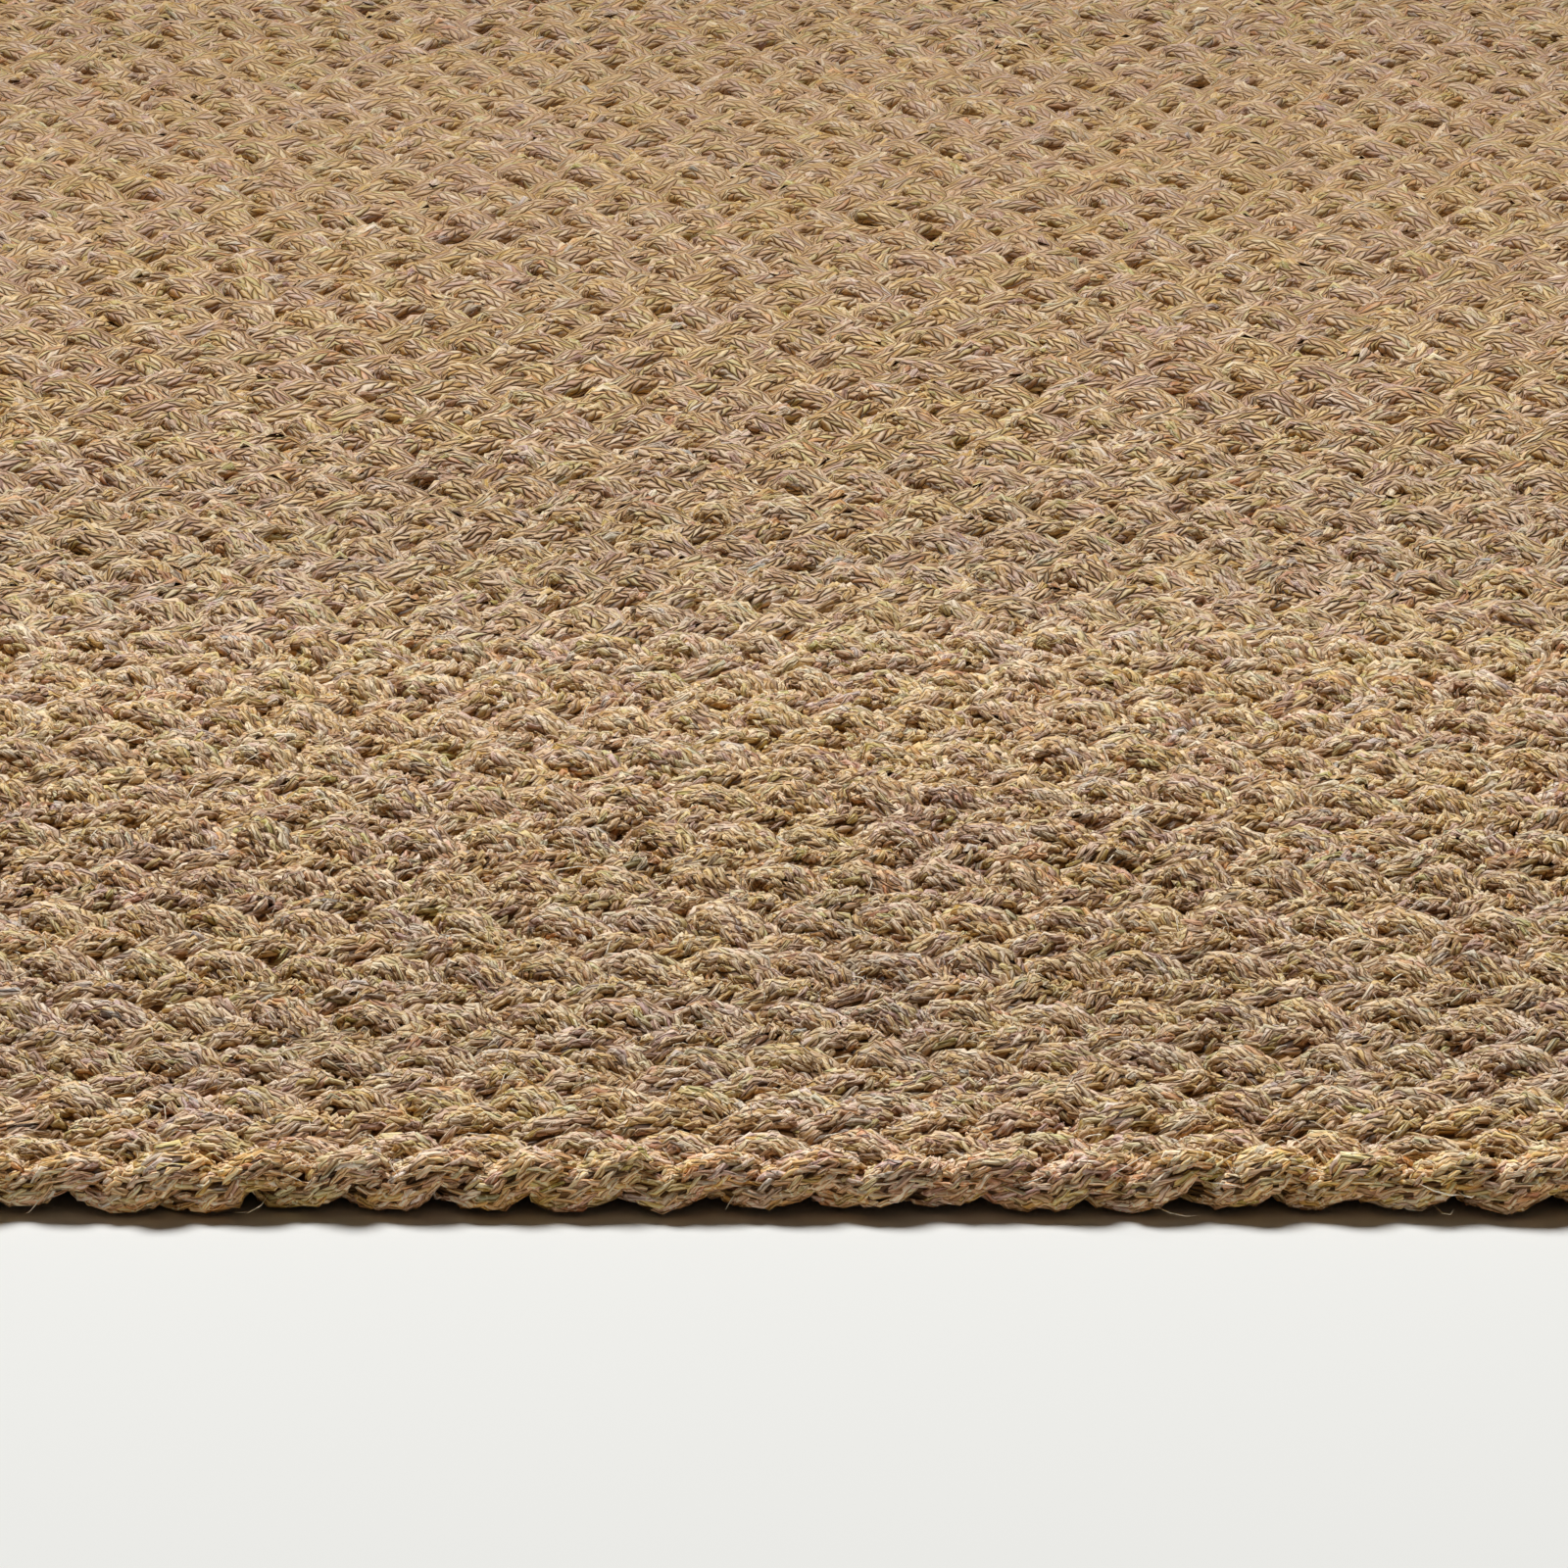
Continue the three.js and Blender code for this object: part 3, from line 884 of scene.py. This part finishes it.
def inner_material():
    """The pressed inside of the braids, seen only down the gaps, painted dark brown as painted shade."""
    m = bpy.data.materials.new("braid_inside_painted_shade")
    m.use_nodes = True
    n = Nodes(m)
    place = n.add("ShaderNodeTexCoord").outputs["Object"]
    fine = n.noise(place, 900.0, 3.0, 0.6).outputs["Fac"]
    colour = n.ramp(fine, [(0.3, srgb(46, 36, 26)), (0.7, srgb(92, 74, 52))])
    bump = n.add("ShaderNodeBump")
    bump.inputs["Distance"].default_value = 0.5 * MM
    n.link(fine, bump.inputs["Height"])
    bsdf = n.add("ShaderNodeBsdfPrincipled")
    n.link(colour, bsdf.inputs["Base Color"])
    n.link(bump.outputs[0], bsdf.inputs["Normal"])
    bsdf.inputs["Roughness"].default_value = 0.95
    out = n.add("ShaderNodeOutputMaterial")
    n.link(bsdf.outputs[0], out.inputs[0])
    return m


# ---------------------------------------------------------------------------
# The camera first
# ---------------------------------------------------------------------------
PITCH = math.radians(16.57)
FOCAL_PX = 8230.0
cam_data = bpy.data.cameras.new("camera")
cam_data.sensor_width = 36.0
cam_data.lens = FOCAL_PX / 1600 * 36
cam_data.clip_start, cam_data.clip_end = 0.05, 50
cam = bpy.data.objects.new("camera", cam_data)
bpy.context.scene.collection.objects.link(cam)
cam.location = (0.0, -1.6899, 0.4253)
cam.rotation_euler = (math.pi / 2 - PITCH, 0, 0)
bpy.context.scene.camera = cam

# ---------------------------------------------------------------------------
# The rug
# ---------------------------------------------------------------------------
yarn = cord_material("braided_yarn", 1.0)
# The yarn beneath the modelled floats is a darker copy of the braided yarn, as painted shade.
under = cord_material("yarn_beneath_painted_shade", None)
afloat = float_material()
rng = np.random.default_rng(7)
HALF = PANEL_WIDTH / 2 + 3.0
ALWAYS = lambda p: np.ones(len(p), bool)
pieces = []
for i, (y, width) in enumerate(rows()):
    period = PERIOD * (1 + rng.uniform(-0.02, 0.02))
    shift = rng.uniform(0, 2 * math.pi)
    ends = HALF / period * 2 * math.pi
    detailed = i < FLOAT_ROWS
    cords = [
        Cord("row", -ends, ends, period, 2 * math.pi * k / 3 + shift, width, 3 * i + k + 1,
             shrink=0.3 if detailed else 0.1)
        for k in range(3)
    ]
    skins = [skin(c, 7, 8, 0.0 if detailed else 0.12, 2 * math.pi * k / 3 + shift) for k, c in enumerate(cords)]
    shape = "full" if i < FULL_ROWS else "slim" if i < SLIM_ROWS else "roof"
    for kind in COARSER:
        if i >= kind["row"]:
            for c in cords:
                c.columns, c.pitch = kind["columns"], BRAIDS["row"]["pitch"] * kind["pitch"]
    most = 1.0 if detailed else float(np.clip(0.7 - (i - FLOAT_ROWS) * 0.07, FEW, 1))
    sets = []
    for c in cords:
        others = [o for o in cords if o is not c]
        sets.append(c.floats(others, shape, lambda p, f=most: f, lambda p: -0.05, ALWAYS, 1.0 if detailed else 1.1))
        if detailed:
            sets.append(c.strays(0.05 - 0.004 * i))
    ob = build(f"row_{i + 1:02d}", skins, sets, row_line(y), [under if detailed else yarn, afloat])
    pieces.append(ob)

whole, edge_place = edge_loop()
TURNS = 71
near_end = (RUG_WIDTH / 2 - 8) / whole * TURNS * 2
fine_end = near_end


def edge_detail(n):
    n = n % (2 * TURNS)
    return 10 if n < fine_end or n > 2 * TURNS - fine_end else 7


cords = [
    Cord("edge", 0.0, 2 * math.pi * TURNS, whole / TURNS, 2 * math.pi * k / 3, EDGE_WIDTH, 301 + k, closed=True,
         shrink=0.3)
    for k in range(3)
]
skins = [skin(c, edge_detail, 9, 0.0, 2 * math.pi * k / 3) for k, c in enumerate(cords)]
NEAR_RUN = RUG_WIDTH / 2 - 5


def near(p):
    s = np.mod(p[:, 0], whole)
    return (s < NEAR_RUN) | (s > whole - NEAR_RUN)


# the outer side shows well down towards the floor, the inner side only on top
facing = lambda p: np.where(p[:, 1] < -2.0, -0.85, -0.05)
sets = []
for c in cords:
    others = [o for o in cords if o is not c]
    sets.append(c.floats(others, "full", lambda p: np.ones(len(p)), facing, near, 1.13, draw=3.0))
    sets.append(c.strays(0.04, 0.25))
    sets.append(c.floats(others, "roof", lambda p: 0.8, lambda p: np.where(p[:, 1] < -2.0, -0.4, 0.0), lambda p: ~near(p), 1.1))
edge = build("edge_cords", skins, sets, edge_place, [under, afloat])


def slab():
    """The braids' pressed inside, as one thin ridged sheet, closed all round."""
    line = []
    for y, width in rows():
        for t in (-0.5, -0.25, 0, 0.25):
            line.append((y + t * width, 0.5 * math.cos(2 * math.pi * t)))
    ys = np.array([p[0] for p in line] + [PANEL_LENGTH / 2])
    swell = np.array([p[1] for p in line] + [-0.5])
    margin = 12.0
    ys = np.concatenate([[ys[0] - margin], ys, [ys[-1] + margin]])
    swell = np.concatenate([[0], swell, [0]])
    xs = np.linspace(-PANEL_WIDTH / 2 - margin, PANEL_WIDTH / 2 + margin, 25)
    X, Y = np.meshgrid(xs, ys)
    # Its corners keep within the bends of the edge braid.
    cx, cy = RUG_WIDTH / 2 - OUTER_RADIUS, RUG_LENGTH / 2 - OUTER_RADIUS
    dx, dy = np.maximum(np.abs(X) - cx, 0), np.maximum(np.abs(Y) - cy, 0)
    pull = np.where(dx * dy > 0, np.minimum(1, (OUTER_RADIUS - 9.0) / np.maximum(np.hypot(dx, dy), 1)), 1)
    X = np.sign(X) * (np.abs(X) - dx * (1 - pull))
    Y = np.sign(Y) * (np.abs(Y) - dy * (1 - pull))
    W = Y + wander(X, Y)
    Z = THICKNESS / 2 - 0.9 + lift(X, Y)
    half = 0.55 + 0.35 * swell[:, None]
    top = np.stack([X, W, Z + half], 2).reshape(-1, 3)
    low = np.stack([X, W, Z - half], 2).reshape(-1, 3)
    r, c = X.shape
    idx = np.arange(r * c).reshape(r, c)
    q = lambda a: np.stack([a[:-1, :-1], a[:-1, 1:], a[1:, 1:], a[1:, :-1]], 2).reshape(-1, 4)
    up_faces = q(idx)
    low_faces = q(idx + r * c)[:, ::-1]
    ring = np.concatenate([idx[0, :-1], idx[:-1, -1], idx[-1, :0:-1], idx[:0:-1, 0]])
    nxt = np.roll(ring, -1)
    side = np.stack([ring, ring + r * c, nxt + r * c, nxt], 1)
    me = bpy.data.meshes.new("rug_inside")
    me.from_pydata((np.concatenate([top, low]) * MM).tolist(), [], np.concatenate([up_faces, low_faces, side]).tolist())
    me.validate()
    ob = bpy.data.objects.new("rug_inside", me)
    bpy.context.scene.collection.objects.link(ob)
    ob.data.materials.append(inner_material())
    return ob


inside = slab()

# ---------------------------------------------------------------------------
# Floor and light
# ---------------------------------------------------------------------------
me = bpy.data.meshes.new("floor")
S = 14.0
me.from_pydata([(-S, -S, 0), (S, -S, 0), (S, S, 0), (-S, S, 0)], [], [(0, 1, 2, 3)])
floor = bpy.data.objects.new("floor", me)
floor.location.z = -0.0002
bpy.context.scene.collection.objects.link(floor)
mat = bpy.data.materials.new("floor")
mat.use_nodes = True
b = mat.node_tree.nodes["Principled BSDF"]
b.inputs["Base Color"].default_value = (0.895, 0.90, 0.875, 1)
b.inputs["Roughness"].default_value = 0.9
b.inputs["Specular IOR Level"].default_value = 0.1
me.materials.append(mat)

world = bpy.data.worlds.new("studio")
bpy.context.scene.world = world
world.use_nodes = True
bg = world.node_tree.nodes["Background"]
bg.inputs[0].default_value = (1.0, 0.84, 0.64, 1)
bg.inputs[1].default_value = 0.04


def lamp(name, place, target, size, power, colour=(1, 1, 1)):
    d = bpy.data.lights.new(name, "AREA")
    d.shape, d.size, d.energy, d.color = "DISK", size, power, colour
    o = bpy.data.objects.new(name, d)
    bpy.context.scene.collection.objects.link(o)
    o.location = place
    o.rotation_euler = (Vector(target) - Vector(place)).to_track_quat("-Z", "Y").to_euler()
    o.visible_camera = False
    return o


lamp("key", (-0.3, 1.3, 3.2), (0, -0.1, 0), 1.7, 152)

bpy.context.scene.view_settings.view_transform = "Standard"

# ---------------------------------------------------------------------------
# What stands for what
# ---------------------------------------------------------------------------
for ob in pieces + [edge, inside]:
    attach(ob, "root")
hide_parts("braid_rows")
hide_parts("edge_braid")
